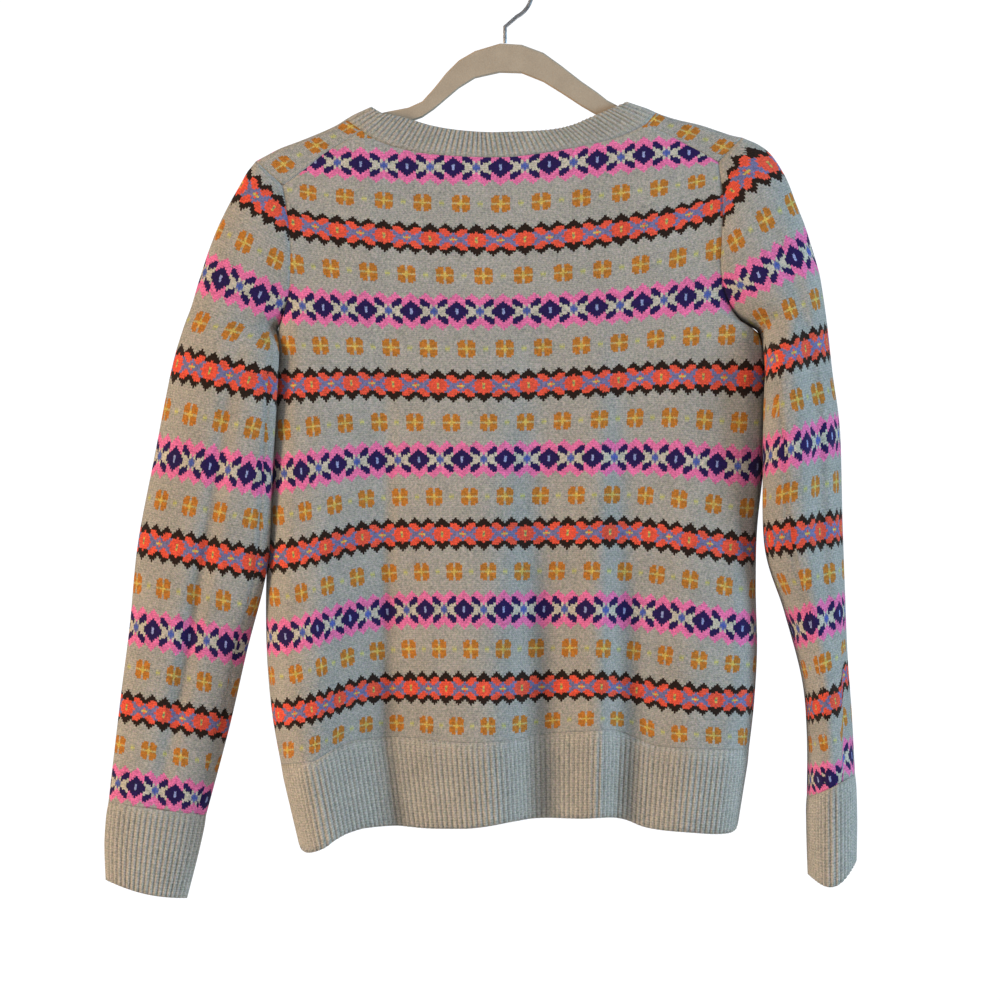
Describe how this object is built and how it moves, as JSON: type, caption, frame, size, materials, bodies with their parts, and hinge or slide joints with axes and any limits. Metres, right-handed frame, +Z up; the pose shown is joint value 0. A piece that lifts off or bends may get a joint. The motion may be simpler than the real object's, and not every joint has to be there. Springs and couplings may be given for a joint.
{
  "type": "fair isle jumper on a hanger",
  "caption": "Long-sleeved, round-necked knitted jumper with ribbed neckband, hem and cuffs, hanging in soft folds on a slim arched hanger with a wire hook.",
  "frame": {"origin": "inside top of the hanger's hook, where it rests on a rail", "axes": "+Z up out of the hook, X across the shoulders with the wearer's left at -X, the back of the jumper towards -Y"},
  "size_m": [0.6043, 0.102, 0.7502],
  "materials": {
    "fair_isle_knit": "fine stocking-stitch wool, heather grey with bands of coral, pink, blue, black and ochre",
    "rib_knit": "ribbed wool, heather grey",
    "flocking": "short beige flock over a moulded core",
    "wire": "polished wire"
  },
  "bodies": {
    "root": {"back_panel": "fair_isle_knit", "front_panel": "fair_isle_knit", "sleeve_left": "fair_isle_knit", "sleeve_right": "fair_isle_knit", "neckband": "rib_knit", "hem_rib_back": "rib_knit", "hem_rib_front": "rib_knit", "cuff_left": "rib_knit", "cuff_right": "rib_knit", "hanger": "flocking", "hanger_hook": "wire"}
  },
  "joints": []
}
